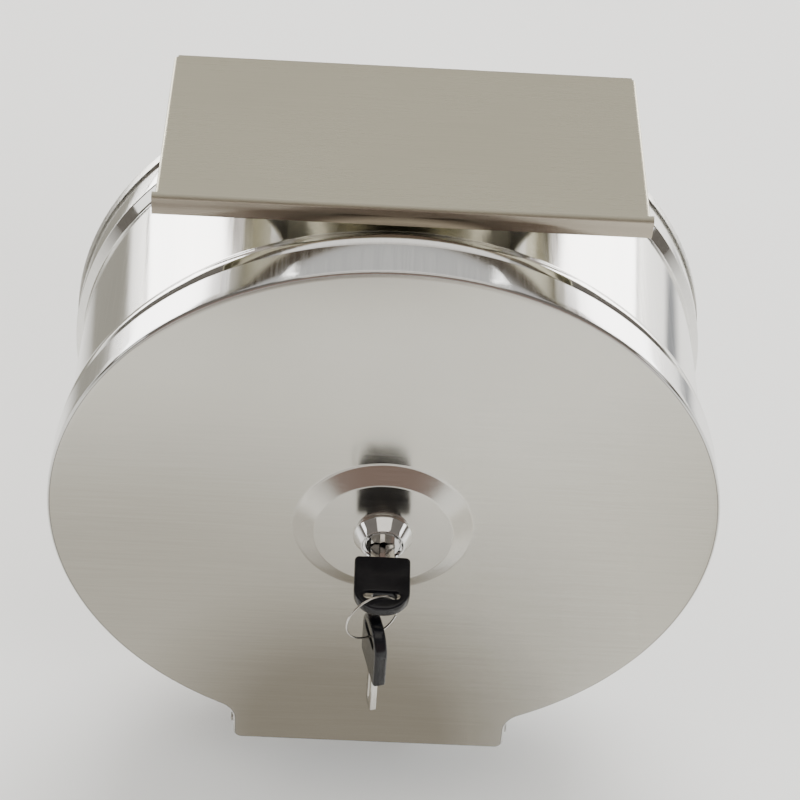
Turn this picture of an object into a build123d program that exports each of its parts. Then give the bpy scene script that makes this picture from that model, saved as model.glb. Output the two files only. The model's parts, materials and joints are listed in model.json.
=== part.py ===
"""Wall-mounted jumbo-roll tissue dispenser: drum housing, drop-down front cover, cam lock and keys.

Frame: origin at the centre of the back face, on the drum's axis. +Z is up, +Y points into the wall,
and the cover faces -Y. Millimetres.
"""
import os
from math import cos, radians, sin, sqrt

from build123d import *

# Driving dimensions
depth = 118.5            # wall to the cover's flat face
sheet = 0.8              # stainless sheet of the cover, drum and pan
cover_radius = 137.5
flange_depth = 16.0      # how far the cover's rim turns back
fold_radius = 1.3        # outside radius of the pressed folds
skirt_half = 61.2        # half width of the outlet skirt
skirt_drop = 143.5       # drum axis to the skirt's bottom edge
skirt_blend = 11.0       # concave blend between the round rim and the skirt
skirt_corner = 4.0

boss_base = 40.0         # raised centre of the cover
boss_flat = 28.7
boss_height = 4.2
boss_slope = 36.0        # radius where the raised centre's slope meets the flat face
boss_fold = 3.4

pan_radius = 138.0
pan_rim = 5.0
drum_radius = 133.5
collar_radius = 137.0
lip_radius = 134.0       # the part of the drum that the cover's rim closes over
lip_front = 110.0
shadow_gap = 6.5         # start of the rear collar, measured from the wall
rear_collar = 20.5
front_collar = 94.0
cover_seam = 101.5
mouth_half = 58.0        # half width of the paper outlet

cheek_thick = 1.0
cheek_bottom = 142.0
hinge_y = -110.5
hinge_z = -137.5
pin_radius = 1.5
pin_play = 0.05          # radial running clearance of every pin and spindle
lug_radius = 4.5
cheek_rear = 5.6
cheek_front = 98.0       # the cheek stands clear behind the cover here; only the hinge arm goes on
arm_top = 126.0
rear_skirt_face = 6.1
rear_skirt_top = 108.0
rear_skirt_hem = 141.5
hem_depth = 2.9
hem_radius = 1.2
pin_start = 55.5
pin_head_radius = 2.6
pin_head_thick = 1.3
pin_head_gap = 0.2       # between the pin's head and the cover's skirt
bush_radius = 2.4
blade_rivet_radius = 2.4
blade_rivet_height = 1.0
blade_rivet_z = -134.5

shelf_top = 146.2
shelf_half = 94.2
shelf_depth = 91.7
shelf_lip = 8.6
shelf_sheet = 1.0
shelf_inset = 1.2        # the top plate is this much narrower than its front lip on each side
bracket_x = 60.0
bracket_rear = 22.5
bracket_long = 36.0
bracket_sheet = 1.2
bracket_foot = 12.0
shelf_rear_drop = 7.8    # depth of the shelf's rear fold
shelf_side_drop = 7.8    # lower edge of the shelf's side flanges, below its top
shelf_side_gap = 2.5     # side flange's ends, short of the front lip and the rear fold

screw_half_x = 65.0      # wall screws
screw_half_z = 55.0
screw_hole = 2.75

spindle_radius = 19.0
spindle_wall = 2.0
spindle_front = 100.0
spindle_plate_size = 90.0
spindle_plate_thick = 2.0
hub_radius = 35.0
hub_flange = 48.0
hub_back = 6.0
hub_front = 92.0
hub_ribs = 6
hub_wall = 2.4
retainer_wall = 4.5
rivet_pitch = 70.0
rivet_radius = 3.0
rivet_height = 1.6
cam_slot = (26.0, 11.0)  # opening in the catch plate that the turned cam passes through

lock_radius = 9.5        # threaded barrel
bezel_radius = 12.2
bezel_face = 8.9
lock_face = 129.0        # bezel's front face, measured from the wall
lock_rear = 103.0
plug_radius = 7.4
cam_front = 97.4         # cam's front face, behind the catch plate
cam_thick = 2.2
cam_length = 21.0
cam_width = 6.0
plug_tail = 3.0
washer_radius = 13.0
washer_thick = 1.0
nut_thick = 4.0
screw_head = 2.8
screw_height = 2.0
keyway_play = 0.4

key_shoulder = 136.4
head_width = 22.6
head_length = 28.0
head_thick = 5.2
head_corner = 10.5
slot_length = 15.0
slot_width = 4.0
slot_edge = 5.3          # slot to the rounded end of the head
blade_width = 9.6
blade_thick = 2.2
blade_length = 25.0
tang_length = 12.0

ring_mean = 11.4
ring_wire = 0.55
ring_turn = 28.0         # the ring's plane, turned about Z from the cover's plane
ring_centre = (-3.4, -161.0, -6.9)
spare_turn = 14.0
spare_along = -2.2       # where on the ring the spare key hangs, measured from the ring's lowest point
spare_offset = 0.5       # ring wire to the spare key's centre line, along the key's width
hang_play = 1.4          # ring wire's centre to the edge of the spare key's slot

os.makedirs("parts", exist_ok=True)


def save(part, name):
    """Label a finished piece and write its STEP file."""
    part.label = name
    export_step(part, f"parts/{name}.step")


def side_name(side):
    """Name of the object's left (-X) or right (+X) side."""
    return "left" if side < 0 else "right"


# Front cover: a flat pressed face with a turned-back rim, an outlet skirt and a raised centre
with BuildPart() as front_cover:
    with BuildSketch(Plane.XZ.offset(depth - flange_depth)) as outline:
        Circle(cover_radius)
        with Locations((0, -skirt_drop / 2)):
            Rectangle(2 * skirt_half, skirt_drop)
        fillet(outline.vertices().group_by(Axis.Y)[1], skirt_blend)
        fillet(outline.vertices().group_by(Axis.Y)[0], skirt_corner)
    extrude(amount=flange_depth)
    fillet(front_cover.faces().sort_by(Axis.Y)[0].edges(), fold_radius)
    offset(amount=-sheet, openings=front_cover.faces().sort_by(Axis.Y)[-1])
    with BuildSketch(Plane.XZ.offset(depth - 5)):
        Circle(boss_base)
    extrude(amount=10, mode=Mode.SUBTRACT)
    with BuildSketch(Plane.XY):
        with BuildLine():
            FilletPolyline(
                (lock_radius, -depth - boss_height),
                (boss_flat, -depth - boss_height),
                (boss_slope, -depth),
                (boss_base, -depth),
                radius=boss_fold,
            )
            offset(amount=sheet, side=Side.LEFT)
        make_face()
    revolve(axis=Axis.Y)
    with BuildSketch(Plane.YZ.offset(-skirt_half - 5)):
        with Locations((hinge_y, hinge_z)):
            Circle(pin_radius + pin_play)
    extrude(amount=2 * skirt_half + 10, mode=Mode.SUBTRACT)
save(front_cover.part, "front_cover")

# Back pan: the round plate that screws to the wall, with a shallow rim
with BuildPart() as back_pan:
    with BuildSketch(Plane.XZ):
        Circle(pan_radius)
    extrude(amount=pan_rim)
    fillet(back_pan.faces().sort_by(Axis.Y)[-1].edges(), fold_radius)
    offset(amount=-sheet, openings=back_pan.faces().sort_by(Axis.Y)[0])
    with BuildSketch(Plane.XZ):
        with GridLocations(2 * screw_half_x, 2 * screw_half_z, 2, 2):
            Circle(screw_hole)
    extrude(amount=2, mode=Mode.SUBTRACT)
save(back_pan.part, "back_pan")

# Drum wall: one formed band with a collar at each end, open at the bottom
with BuildPart() as drum_wall:
    with BuildSketch(Plane.XY):
        with BuildLine():
            FilletPolyline(
                (lip_radius, -sheet),
                (lip_radius, -shadow_gap),
                (collar_radius, -shadow_gap - 1.0),
                (collar_radius, -rear_collar + 1.0),
                (drum_radius, -rear_collar - 1.0),
                (drum_radius, -front_collar + 1.0),
                (collar_radius, -front_collar - 1.0),
                (collar_radius, -cover_seam + 0.4),
                (lip_radius, -cover_seam - 0.4),
                (lip_radius, -lip_front),
                radius=1.0,
            )
            offset(amount=sheet, side=Side.RIGHT)
        make_face()
    revolve(axis=Axis.Y)
    with BuildSketch(Plane.XZ):
        with Locations((0, -cover_radius / 2)):
            Rectangle(2 * mouth_half, cover_radius)
    extrude(amount=depth, mode=Mode.SUBTRACT)
save(drum_wall.part, "drum_wall")

# Outlet cheeks: the side walls of the paper outlet, each with a hinge arm at its front
arm_half = lug_radius
cheek_top = sqrt(lip_radius**2 - mouth_half**2) - 6
for side in (-1, 1):
    with BuildPart() as cheek:
        with BuildSketch(Plane.YZ.offset(side * mouth_half)) as cheek_outline:
            with BuildLine():
                Polyline(
                    (-cheek_rear, -cheek_top),
                    (-cheek_rear, -cheek_bottom),
                    (-cheek_front, -cheek_bottom),
                    (-cheek_front, -arm_top),
                    (hinge_y + arm_half, -arm_top),
                    (hinge_y + arm_half, hinge_z),
                    (hinge_y - arm_half, hinge_z),
                    (hinge_y - arm_half, -cheek_top),
                    close=True,
                )
            make_face()
            with Locations((hinge_y, hinge_z)):
                Circle(lug_radius)
                Circle(pin_radius, mode=Mode.SUBTRACT)
        extrude(amount=-side * cheek_thick)
    save(cheek.part, f"outlet_cheek_{side_name(side)}")

# Hinge pins and the spacers between each arm and the cover's skirt
for side in (-1, 1):
    with BuildPart() as pin:
        with BuildSketch(Plane.YZ.offset(side * pin_start)):
            with Locations((hinge_y, hinge_z)):
                Circle(pin_radius)
        extrude(amount=side * (skirt_half + pin_head_gap - pin_start))
        with BuildSketch(Plane.YZ.offset(side * (skirt_half + pin_head_gap))):
            with Locations((hinge_y, hinge_z)):
                Circle(pin_head_radius)
        extrude(amount=side * pin_head_thick)
        fillet(pin.faces().sort_by(Axis.X)[-1 if side > 0 else 0].edges(), pin_head_thick / 2)
    save(pin.part, f"hinge_pin_{side_name(side)}")
    with BuildPart() as bush:
        with BuildSketch(Plane.YZ.offset(side * mouth_half)):
            with Locations((hinge_y, hinge_z)):
                Circle(bush_radius)
                Circle(pin_radius, mode=Mode.SUBTRACT)
        extrude(amount=side * (skirt_half - sheet - mouth_half - 0.5))
    save(bush.part, f"hinge_bush_{side_name(side)}")

# Rear skirt: the back wall of the outlet, with a hemmed lower edge
inner_half = mouth_half - cheek_thick
with BuildPart() as rear_skirt:
    with BuildSketch(Plane.YZ.offset(-inner_half)):
        with BuildLine():
            FilletPolyline(
                (-rear_skirt_face, -rear_skirt_top),
                (-rear_skirt_face, -rear_skirt_hem),
                (-rear_skirt_face - hem_depth, -rear_skirt_hem),
                radius=hem_radius,
            )
            offset(amount=sheet / 2, side=Side.BOTH)
        make_face()
    extrude(amount=2 * inner_half)
save(rear_skirt.part, "rear_skirt")

# Tear blades: a toothed strip inside each cheek, for tearing the paper on either side
tooth_pitch = 3.0
blade_rear = -11.0
tooth_count = 28
blade_strip_top = -130.0
tooth_root = -141.4
tooth_tip = -143.3
blade_front = blade_rear - tooth_count * tooth_pitch
for side in (-1, 1):
    with BuildPart() as tear_blade:
        with BuildSketch(Plane.YZ.offset(side * inner_half)):
            with BuildLine():
                points = [(blade_rear, blade_strip_top), (blade_rear, tooth_root)]
                for tooth in range(tooth_count):
                    start = blade_rear - tooth * tooth_pitch
                    points.append((start - tooth_pitch / 2, tooth_tip))
                    points.append((start - tooth_pitch, tooth_root))
                points.append((blade_front, blade_strip_top))
                Polyline(*points, close=True)
            make_face()
        extrude(amount=-side * sheet)
    save(tear_blade.part, f"tear_blade_{side_name(side)}")

# Rivets that hold the tear blades, two domed heads on each strip
with BuildPart() as blade_rivets:
    for side in (-1, 1):
        face_x = side * (inner_half - sheet)
        with BuildSketch(Plane.YZ.offset(face_x)):
            with Locations((blade_rear - 10, blade_rivet_z), (blade_front + 10, blade_rivet_z)):
                Circle(blade_rivet_radius)
        extrude(amount=-side * blade_rivet_height)
    crown_x = inner_half - sheet - blade_rivet_height
    fillet(blade_rivets.edges().filter_by(lambda edge: abs(abs(edge.center().X) - crown_x) < 0.01), 0.6)
save(blade_rivets.part, "blade_rivets")

# Shelf: a folded tray turned upside down, with a deeper lip at the front
with BuildPart() as shelf:
    with BuildSketch(Plane.YZ.offset(-shelf_half)):
        with BuildLine():
            FilletPolyline(
                (0, shelf_top - shelf_rear_drop),
                (0, shelf_top),
                (-shelf_depth, shelf_top),
                (-shelf_depth, shelf_top - shelf_lip),
                radius=1.6,
            )
            offset(amount=shelf_sheet, side=Side.LEFT)
        make_face()
    extrude(amount=2 * shelf_half)
    with BuildSketch(Plane.XY.offset(shelf_top - 20)):
        with Locations((0, -shelf_depth / 2 + 2.2 + 5)):
            Rectangle(2 * shelf_half + 10, shelf_depth - 4.4 + 10)
            Rectangle(2 * (shelf_half - shelf_inset), shelf_depth + 40, mode=Mode.SUBTRACT)
    extrude(amount=30, mode=Mode.SUBTRACT)
    for side in (-1, 1):
        with BuildSketch(Plane.YZ.offset(side * (shelf_half - shelf_inset))):
            with Locations((-shelf_depth / 2, shelf_top - (shelf_sheet + shelf_side_drop) / 2)):
                Rectangle(shelf_depth - 2 * shelf_side_gap, shelf_side_drop - shelf_sheet)
        extrude(amount=-side * shelf_sheet)
    side_edges = shelf.edges().filter_by(Axis.Y).filter_by(
        lambda edge: abs(edge.center().Z - shelf_top) < 0.01 and edge.length > 60)
    fillet(side_edges, 0.8)
save(shelf.part, "shelf")

# Shelf brackets: angles welded to the drum and the shelf
foot_z = sqrt((drum_radius + sheet)**2 - bracket_x**2)
shelf_under = shelf_top - shelf_sheet
for side in (-1, 1):
    with BuildPart() as bracket:
        with BuildSketch(Plane.XZ.offset(bracket_rear)):
            with Locations((side * (bracket_x + bracket_sheet / 2), (shelf_under + foot_z) / 2 - 1)):
                Rectangle(bracket_sheet, shelf_under - foot_z + 2)
            with Locations((side * (bracket_x + bracket_foot / 2), shelf_under - bracket_sheet / 2)):
                Rectangle(bracket_foot, bracket_sheet)
            Circle(drum_radius + bracket_sheet)
            Circle(drum_radius, mode=Mode.SUBTRACT)
            with Locations((side * (bracket_x + bracket_foot / 2), 126)):
                Rectangle(bracket_foot, 44, mode=Mode.INTERSECT)
        extrude(amount=bracket_long)
    save(bracket.part, f"shelf_bracket_{side_name(side)}")

# Spindle plate, its rivets, and the spindle tube that the hub turns on
with BuildPart() as spindle_plate:
    with BuildSketch(Plane.XZ.offset(sheet)):
        RectangleRounded(spindle_plate_size, spindle_plate_size, 8)
    extrude(amount=spindle_plate_thick)
save(spindle_plate.part, "spindle_plate")

rivet_face = sheet + spindle_plate_thick
with BuildPart() as spindle_rivets:
    with BuildSketch(Plane.XZ.offset(rivet_face)):
        with GridLocations(rivet_pitch, rivet_pitch, 2, 2):
            Circle(rivet_radius)
    extrude(amount=rivet_height)
    fillet(spindle_rivets.faces().filter_by(Axis.Y).group_by(Axis.Y)[0].edges(), 0.9)
save(spindle_rivets.part, "spindle_rivets")

with BuildPart() as spindle_tube:
    with BuildSketch(Plane.XZ.offset(rivet_face)):
        Circle(spindle_radius)
        Circle(spindle_radius - spindle_wall, mode=Mode.SUBTRACT)
    extrude(amount=spindle_front - rivet_face)
save(spindle_tube.part, "spindle_tube")

# Catch plate: closes the spindle's front end, with the slot that the lock's cam passes through
with BuildPart() as catch_plate:
    with BuildSketch(Plane.XZ.offset(spindle_front - 2)):
        Circle(spindle_radius - spindle_wall)
        RectangleRounded(*cam_slot, 2, mode=Mode.SUBTRACT)
    extrude(amount=2)
save(catch_plate.part, "catch_plate")

# Hub retainer: the snap collar that keeps the hub on its spindle
with BuildPart() as hub_retainer:
    with BuildSketch(Plane.XZ.offset(hub_front + 0.8)):
        Circle(spindle_radius + retainer_wall)
        Circle(spindle_radius, mode=Mode.SUBTRACT)
    extrude(amount=3)
    fillet(hub_retainer.edges().filter_by(GeomType.CIRCLE).group_by(SortBy.RADIUS)[-1], 0.8)
save(hub_retainer.part, "hub_retainer")

# Core hub: the moulded wheel that the roll's core sits on
with BuildPart() as core_hub:
    with BuildSketch(Plane.XZ.offset(hub_back)):
        Circle(hub_radius)
        Circle(hub_radius - hub_wall, mode=Mode.SUBTRACT)
        with PolarLocations((hub_radius + spindle_radius) / 2, hub_ribs):
            Rectangle(hub_radius - spindle_radius - 2, hub_wall)
        Circle(spindle_radius + 2.6)
        Circle(spindle_radius + pin_play, mode=Mode.SUBTRACT)
    extrude(amount=hub_front - hub_back)
    with BuildSketch(Plane.XZ.offset(hub_back)):
        Circle(hub_flange)
        Circle(hub_radius - 1, mode=Mode.SUBTRACT)
    extrude(amount=hub_wall)
save(core_hub.part, "core_hub")

# Cam lock: bezel and barrel in one turned piece, held by a washer and nut
boss_face = depth + boss_height
with BuildPart() as lock_body:
    with BuildSketch(Plane.XY):
        with BuildLine():
            Polyline(
                (plug_radius + pin_play, -lock_rear),
                (plug_radius + pin_play, -lock_face),
                (bezel_face, -lock_face),
                (bezel_radius, -boss_face - 1.0),
                (bezel_radius - 0.3, -boss_face),
                (lock_radius, -boss_face),
                (lock_radius, -lock_rear),
                close=True,
            )
        make_face()
    revolve(axis=Axis.Y)
save(lock_body.part, "lock_body")

washer_front = boss_face - sheet
with BuildPart() as lock_washer:
    with BuildSketch(Plane.XZ.offset(washer_front - washer_thick)):
        Circle(washer_radius)
        Circle(lock_radius, mode=Mode.SUBTRACT)
    extrude(amount=washer_thick)
save(lock_washer.part, "lock_washer")

with BuildPart() as lock_nut:
    with BuildSketch(Plane.XZ.offset(washer_front - washer_thick - nut_thick)):
        RegularPolygon(washer_radius, 6)
        Circle(lock_radius, mode=Mode.SUBTRACT)
    extrude(amount=nut_thick)
save(lock_nut.part, "lock_nut")

# Lock plug with its keyway and tail, the cam on the tail, and the cam's screw
with BuildPart() as lock_plug:
    with BuildSketch(Plane.XZ.offset(lock_rear)):
        Circle(plug_radius)
    extrude(amount=lock_face - 0.4 - lock_rear)
    with BuildSketch(Plane.XZ.offset(lock_face - 0.4 - blade_length + 3)):
        Rectangle(blade_width + keyway_play, blade_thick + keyway_play)
    extrude(amount=blade_length, mode=Mode.SUBTRACT)
    with BuildSketch(Plane.XZ.offset(cam_front)):
        Circle(plug_tail)
    extrude(amount=lock_rear - cam_front)
save(lock_plug.part, "lock_plug")

with BuildPart() as lock_cam:
    with BuildSketch(Plane.XZ.offset(cam_front - cam_thick)):
        SlotOverall(cam_length, cam_width)
    extrude(amount=cam_thick)
save(lock_cam.part, "lock_cam")

with BuildPart() as cam_screw:
    with BuildSketch(Plane.XZ.offset(cam_front - cam_thick - screw_height)):
        Circle(screw_head)
    extrude(amount=screw_height)
    with BuildSketch(Plane.XZ.offset(cam_front - cam_thick - screw_height)):
        Rectangle(6, 0.8)
    extrude(amount=0.9, mode=Mode.SUBTRACT)
save(cam_screw.part, "cam_screw")


def make_key(plane, name):
    """One key in its own plane: origin at the head's shoulder, +Y of the plane towards the ring."""
    with BuildPart() as blade:
        with BuildSketch(plane):
            with BuildLine():
                cut = 1.5
                Polyline(
                    (-blade_width / 2 + 1, tang_length),
                    (-blade_width / 2 + 1, 0),
                    (-blade_width / 2, 0),
                    (-blade_width / 2, -7),
                    (-blade_width / 2 + cut, -9),
                    (-blade_width / 2 + 0.4, -12),
                    (-blade_width / 2 + cut + 0.6, -14.5),
                    (-blade_width / 2 + 0.6, -17.5),
                    (-blade_width / 2 + cut, -20),
                    (-blade_width / 2 + 0.8, -22),
                    (-blade_width / 2 + 2.6, -blade_length),
                    (blade_width / 2 - 2.6, -blade_length),
                    (blade_width / 2, -blade_length + 2.6),
                    (blade_width / 2, 0),
                    (blade_width / 2 - 1, 0),
                    (blade_width / 2 - 1, tang_length),
                    close=True,
                )
            make_face()
        extrude(amount=blade_thick / 2, both=True)
    with BuildPart() as head:
        with BuildSketch(plane) as shape:
            with Locations((0, head_length / 2)):
                Rectangle(head_width, head_length)
            fillet(shape.vertices().group_by(Axis.Y)[0], 2.0)
            fillet(shape.vertices().group_by(Axis.Y)[-1], head_corner)
        extrude(amount=head_thick / 2, both=True)
        broad = head.faces().sort_by(SortBy.AREA)[-2:]
        fillet(broad.edges(), 0.9)
        with BuildSketch(plane.offset(-head_thick)):
            with Locations((0, head_length - slot_edge - slot_width / 2)):
                SlotOverall(slot_length, slot_width)
        extrude(amount=2 * head_thick, mode=Mode.SUBTRACT)
        with BuildSketch(plane.offset(-blade_thick / 2)):
            with Locations((0, tang_length / 2)):
                Rectangle(blade_width - 2, tang_length)
        extrude(amount=blade_thick, mode=Mode.SUBTRACT)
    save(blade.part, f"{name}_blade")
    save(head.part, f"{name}_head")


make_key(Plane(origin=(0, -key_shoulder, 0), x_dir=(1, 0, 0), z_dir=(0, 0, -1)), "key")

# Key ring: hangs in the slot of the key's head, its plane turned towards the left front
ring_along = (-cos(radians(ring_turn)), -sin(radians(ring_turn)), 0)
ring_normal = (-sin(radians(ring_turn)), cos(radians(ring_turn)), 0)
ring_plane = Plane(origin=ring_centre, x_dir=ring_along, z_dir=ring_normal)
with BuildPart() as key_ring:
    with Locations(ring_plane):
        Torus(ring_mean, ring_wire)
save(key_ring.part, "key_ring")

# Spare key: hangs from the ring, its flat side turned nearly square to the cover
spare_width = (sin(radians(spare_turn)), -cos(radians(spare_turn)), 0)
hang_drop = sqrt(ring_mean**2 - spare_along**2)
spare_top = ring_centre[2] - hang_drop + hang_play + slot_edge
spare_origin = (
    ring_centre[0] + spare_along * ring_along[0] - spare_offset * spare_width[0],
    ring_centre[1] + spare_along * ring_along[1] - spare_offset * spare_width[1],
    spare_top - head_length,
)
spare_normal = (-cos(radians(spare_turn)), -sin(radians(spare_turn)), 0)
make_key(Plane(origin=spare_origin, x_dir=spare_width, z_dir=spare_normal), "spare_key")
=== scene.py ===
"""Looks of the jumbo roll tissue dispenser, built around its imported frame.

Metres, +Z up, the cover faces -Y and the drum's axis is the Y axis. Sizes are in millimetres and are
multiplied by MM where a mesh is made; the floor, the lights and the camera are in metres.
"""
import json
from math import asin, atan2, cos, pi, radians, sin, sqrt, tan

import bmesh
import bpy
from mathutils import Matrix, Vector


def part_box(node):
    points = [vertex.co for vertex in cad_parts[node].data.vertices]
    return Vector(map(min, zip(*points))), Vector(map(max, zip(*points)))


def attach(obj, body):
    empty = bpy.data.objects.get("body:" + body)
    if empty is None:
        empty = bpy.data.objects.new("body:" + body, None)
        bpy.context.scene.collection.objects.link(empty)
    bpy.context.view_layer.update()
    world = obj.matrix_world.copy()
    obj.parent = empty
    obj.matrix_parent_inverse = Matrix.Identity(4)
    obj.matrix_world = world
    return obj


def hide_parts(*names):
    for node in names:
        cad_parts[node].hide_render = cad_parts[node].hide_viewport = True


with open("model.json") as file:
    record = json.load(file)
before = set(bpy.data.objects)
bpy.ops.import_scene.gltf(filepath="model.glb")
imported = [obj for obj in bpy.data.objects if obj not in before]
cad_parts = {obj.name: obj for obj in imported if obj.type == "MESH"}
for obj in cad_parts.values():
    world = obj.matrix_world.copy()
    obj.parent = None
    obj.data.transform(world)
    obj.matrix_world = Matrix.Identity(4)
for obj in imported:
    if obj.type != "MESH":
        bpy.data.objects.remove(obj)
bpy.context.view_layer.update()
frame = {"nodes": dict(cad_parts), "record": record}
nodes = frame["nodes"]
MM = 0.001

# Sizes of the frame's parts, in millimetres
BOSS_HEIGHT = 4.2
DEPTH = -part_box("front_cover")[0].y / MM - BOSS_HEIGHT
SHEET = 0.8
COVER_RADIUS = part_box("front_cover")[1].x / MM
COVER_REAR = -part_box("front_cover")[1].y / MM
SKIRT_HALF = 61.2
SKIRT_DROP = -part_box("front_cover")[0].z / MM
SKIRT_BLEND = 11.0
SKIRT_CORNER = 4.0
FOLD = 1.3
BOSS_FLAT = 28.7
BOSS_SLOPE_FOOT = 36.8
BOSS_START = 46.0
LOCK_RADIUS = 9.5
MOUTH_HALF = 58.0
PAN_RADIUS = 138.0
PAN_RIM = 5.0
SCREW_HOLE = 2.75
SCREW_X = 65.0
SCREW_Z = 55.0
SHELF_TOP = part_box("shelf")[1].z / MM
SHELF_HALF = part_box("shelf")[1].x / MM
SHELF_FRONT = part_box("shelf")[0].y / MM
SHELF_SHEET = 1.0
SHELF_LIP = 8.6
SHELF_INSET = 1.2
SHELF_FOLD = 1.6
SHELF_NOTCH = 2.6
SHELF_REAR_FLANGE = 7.6
SHELF_SIDE_FLANGE = 7.4
LOCK_FACE = 129.0
BEZEL_RADIUS = 12.2
BEZEL_FACE = 8.9
PLUG_RADIUS = 7.4
BARREL_REAR = 103.0

# ---------------------------------------------------------------- camera
CAMERA_AZIMUTH = radians(-2.37)
CAMERA_ELEVATION = radians(43.72)
CAMERA_ROLL = radians(4.33)
CAMERA_DISTANCE = 0.8609
CAMERA_TARGET = Vector((0.0029, -DEPTH * MM, 0.0728))


def place_camera():
    """A view from the front and above, tilted a little."""
    back = Vector((
        sin(CAMERA_AZIMUTH) * cos(CAMERA_ELEVATION),
        -cos(CAMERA_AZIMUTH) * cos(CAMERA_ELEVATION),
        sin(CAMERA_ELEVATION),
    ))
    right = Vector((0, 0, 1)).cross(back).normalized()
    up = back.cross(right)
    tilted_right = cos(CAMERA_ROLL) * right + sin(CAMERA_ROLL) * up
    tilted_up = -sin(CAMERA_ROLL) * right + cos(CAMERA_ROLL) * up
    data = bpy.data.cameras.new("camera")
    data.sensor_width = 36
    data.lens = 100
    data.clip_start = 0.01
    camera = bpy.data.objects.new("camera", data)
    turn = Matrix((tilted_right, tilted_up, back)).transposed().to_4x4()
    camera.matrix_world = Matrix.Translation(CAMERA_TARGET + CAMERA_DISTANCE * back) @ turn
    bpy.context.scene.collection.objects.link(camera)
    bpy.context.scene.camera = camera


place_camera()


# ---------------------------------------------------------------- materials
def material(name):
    """An empty Principled material, its tree and its shader."""
    made = bpy.data.materials.new(name)
    made.use_nodes = True
    tree = made.node_tree
    tree.nodes.clear()
    out = tree.nodes.new("ShaderNodeOutputMaterial")
    shader = tree.nodes.new("ShaderNodeBsdfPrincipled")
    tree.links.new(shader.outputs[0], out.inputs[0])
    return made, tree, shader


def node(tree, kind, inputs=None, **settings):
    """A shader node; a socket given as an input is linked, anything else is its value."""
    made = tree.nodes.new(kind)
    for key, value in settings.items():
        setattr(made, key, value)
    for key, value in (inputs or {}).items():
        if isinstance(value, bpy.types.NodeSocket):
            tree.links.new(value, made.inputs[key])
        else:
            made.inputs[key].default_value = value
    return made


def noise(tree, coords, scale, detail):
    inputs = {"Vector": coords, "Scale": scale, "Detail": detail}
    return node(tree, "ShaderNodeTexNoise", inputs).outputs[0]


def ranged(tree, value, low, high):
    """A noise value spread over low to high."""
    spread = {"Value": value, "From Min": 0.3, "From Max": 0.7, "To Min": low, "To Max": high}
    return node(tree, "ShaderNodeMapRange", spread).outputs[0]


def tinted(tree, color, factor):
    """A colour multiplied by a factor that varies over the surface."""
    mix = node(tree, "ShaderNodeMix", data_type="RGBA", blend_type="MULTIPLY")
    mix.inputs[0].default_value = 1.0
    mix.inputs[6].default_value = (*color, 1)
    tree.links.new(factor, mix.inputs[7])
    return mix.outputs[2]


SMUDGE_SCALE = 22.0
RUB_SCALE = 160.0
RELIEF_DEPTH = 0.0002
QUARTER_TURN = 0.25


def steel(
        name, color, roughness, grain, spread=0.04, smudge=0.04, bump=0.03, around=None, directed=0.9):
    """Metal with fine streaks along one direction (small scale in grain) and soft smudges.

    around is the axis that the brushing circles, and directed how much reflections spread across it."""
    made, tree, shader = material(name)
    shader.inputs["Metallic"].default_value = 1.0
    if around:
        shader.inputs["Anisotropic"].default_value = directed
        shader.inputs["Anisotropic Rotation"].default_value = QUARTER_TURN
        tangent = node(tree, "ShaderNodeTangent", direction_type="RADIAL", axis=around)
        tree.links.new(tangent.outputs[0], shader.inputs["Tangent"])
    coords = node(tree, "ShaderNodeTexCoord").outputs["Object"]
    along = node(tree, "ShaderNodeMapping", {"Vector": coords, "Scale": grain}).outputs[0]
    streaks = noise(tree, along, 1.0, 5.0)
    blotch = noise(tree, coords, SMUDGE_SCALE, 3.0)
    fine = ranged(tree, streaks, roughness - spread, roughness + spread)
    soft = ranged(tree, blotch, -smudge, smudge)
    total = node(tree, "ShaderNodeMath", {0: fine, 1: soft}, operation="ADD").outputs[0]
    height = {"Height": streaks, "Strength": bump, "Distance": RELIEF_DEPTH}
    relief = node(tree, "ShaderNodeBump", height)
    tree.links.new(tinted(tree, color, ranged(tree, streaks, 0.96, 1.03)), shader.inputs["Base Color"])
    tree.links.new(total, shader.inputs["Roughness"])
    tree.links.new(relief.outputs[0], shader.inputs["Normal"])
    return made


def plastic(name, color, roughness, grain, bump, specular):
    """Moulded plastic: fine texture, uneven gloss and a few light rub marks."""
    made, tree, shader = material(name)
    shader.inputs["Specular IOR Level"].default_value = specular
    coords = node(tree, "ShaderNodeTexCoord").outputs["Object"]
    texture = noise(tree, coords, grain, 3.0)
    rubs = noise(tree, coords, RUB_SCALE, 4.0)
    gloss = ranged(tree, rubs, roughness - 0.05, roughness + 0.08)
    height = {"Height": texture, "Strength": bump, "Distance": RELIEF_DEPTH}
    relief = node(tree, "ShaderNodeBump", height)
    tree.links.new(tinted(tree, color, ranged(tree, rubs, 0.85, 1.15)), shader.inputs["Base Color"])
    tree.links.new(gloss, shader.inputs["Roughness"])
    tree.links.new(relief.outputs[0], shader.inputs["Normal"])
    return made


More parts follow.
